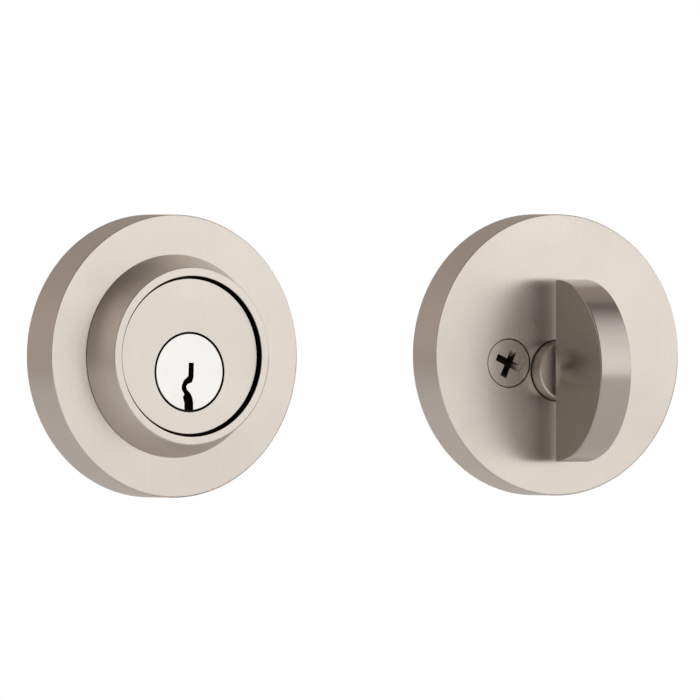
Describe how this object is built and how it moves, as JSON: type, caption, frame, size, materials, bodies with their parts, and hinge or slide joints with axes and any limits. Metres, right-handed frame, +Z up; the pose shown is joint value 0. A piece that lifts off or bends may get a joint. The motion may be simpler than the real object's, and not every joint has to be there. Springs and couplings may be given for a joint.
{
  "type": "deadbolt door lock",
  "caption": "Deadbolt door lock: round cylinder half with guard collar, round half with half-disc thumbturn, and a throw bolt worked by a crank.",
  "frame": {"origin": "centre of the exterior rose, on the plane where it meets the door face", "axes": "+Y into the door, away from the visible faces of both halves; +X towards the door edge and the interior half; +Z up"},
  "size_m": [0.1716, 0.0885, 0.1762],
  "materials": {
    "satin_nickel": "satin, finely brushed",
    "bright_nickel": "polished",
    "steel": "zinc plated",
    "hard_steel": "ground",
    "spring_steel": "bright",
    "brass": "machined",
    "cast_alloy": "as cast, tumbled",
    "foam": "matt closed-cell foam",
    "nylon": "moulded"
  },
  "bodies": {
    "lock_frame": {"exterior_rose": "satin_nickel", "collar_spring_washer": "spring_steel", "cylinder_housing": "satin_nickel", "anti_drill_pins": "hard_steel", "driver_pins": "brass", "pin_springs": "spring_steel", "pin_chamber_cap": "brass", "cylinder_mounting_plate": "cast_alloy", "housing_screws": "steel", "exterior_gasket": "foam", "interior_rose": "satin_nickel", "mounting_screws": "satin_nickel", "hub_bushing": "nylon", "hub_spring_washer": "spring_steel", "interior_mounting_plate": "steel", "interior_gasket": "foam", "bolt_case": "steel", "bolt_faceplate": "satin_nickel", "bolt_backplate": "steel", "faceplate_rivets": "steel"},
    "collar": {"guard_collar": "satin_nickel", "collar_retaining_ring": "spring_steel"},
    "key_plug": {"plug": "bright_nickel", "key_pins": "brass", "plug_cap": "brass", "tailpiece_ring": "spring_steel"},
    "tail": {"tailpiece": "steel"},
    "turn": {"thumbturn": "satin_nickel", "thumbturn_hub": "satin_nickel", "thumbturn_pin": "hard_steel", "hub_retaining_clip": "spring_steel"},
    "crank": {"crank_cam": "cast_alloy"},
    "bolt": {"deadbolt": "cast_alloy", "hardened_insert": "hard_steel", "bolt_link": "steel", "link_drive_pin": "hard_steel", "link_cross_pin": "hard_steel"}
  },
  "joints": [
    {"name": "collar_spin", "type": "hinge", "parent": "lock_frame", "child": "collar", "pos_m": [0, -0.015, 0], "axis": [0, 1, 0], "continuous": true},
    {"name": "plug_turn", "type": "hinge", "parent": "lock_frame", "child": "key_plug", "pos_m": [0, -0.0188, -0.0037], "axis": [0, 1, 0], "range_deg": [-90, 90]},
    {"name": "tailpiece_turn", "type": "hinge", "parent": "lock_frame", "child": "tail", "pos_m": [0, 0.0122, -0.0037], "axis": [0, 1, 0], "range_deg": [0, 90]},
    {"name": "thumbturn_turn", "type": "hinge", "parent": "lock_frame", "child": "turn", "pos_m": [0.105, -0.0108, -0.0037], "axis": [0, -1, 0], "range_deg": [0, 90]},
    {"name": "crank_turn", "type": "hinge", "parent": "lock_frame", "child": "crank", "pos_m": [0.0315, 0.0222, -0.118], "axis": [0, 1, 0], "range_deg": [0, 90]},
    {"name": "bolt_throw", "type": "slide", "parent": "lock_frame", "child": "bolt", "axis": [1, 0, 0], "range_m": [0, 0.0254]}
  ],
  "couplings": [
    {"joint": "tailpiece_turn", "follows": "thumbturn_turn", "ratio": 1},
    {"joint": "crank_turn", "follows": "thumbturn_turn", "ratio": 1},
    {"joint": "bolt_throw", "follows": "thumbturn_turn", "m_per_rad": 0.01617}
  ]
}
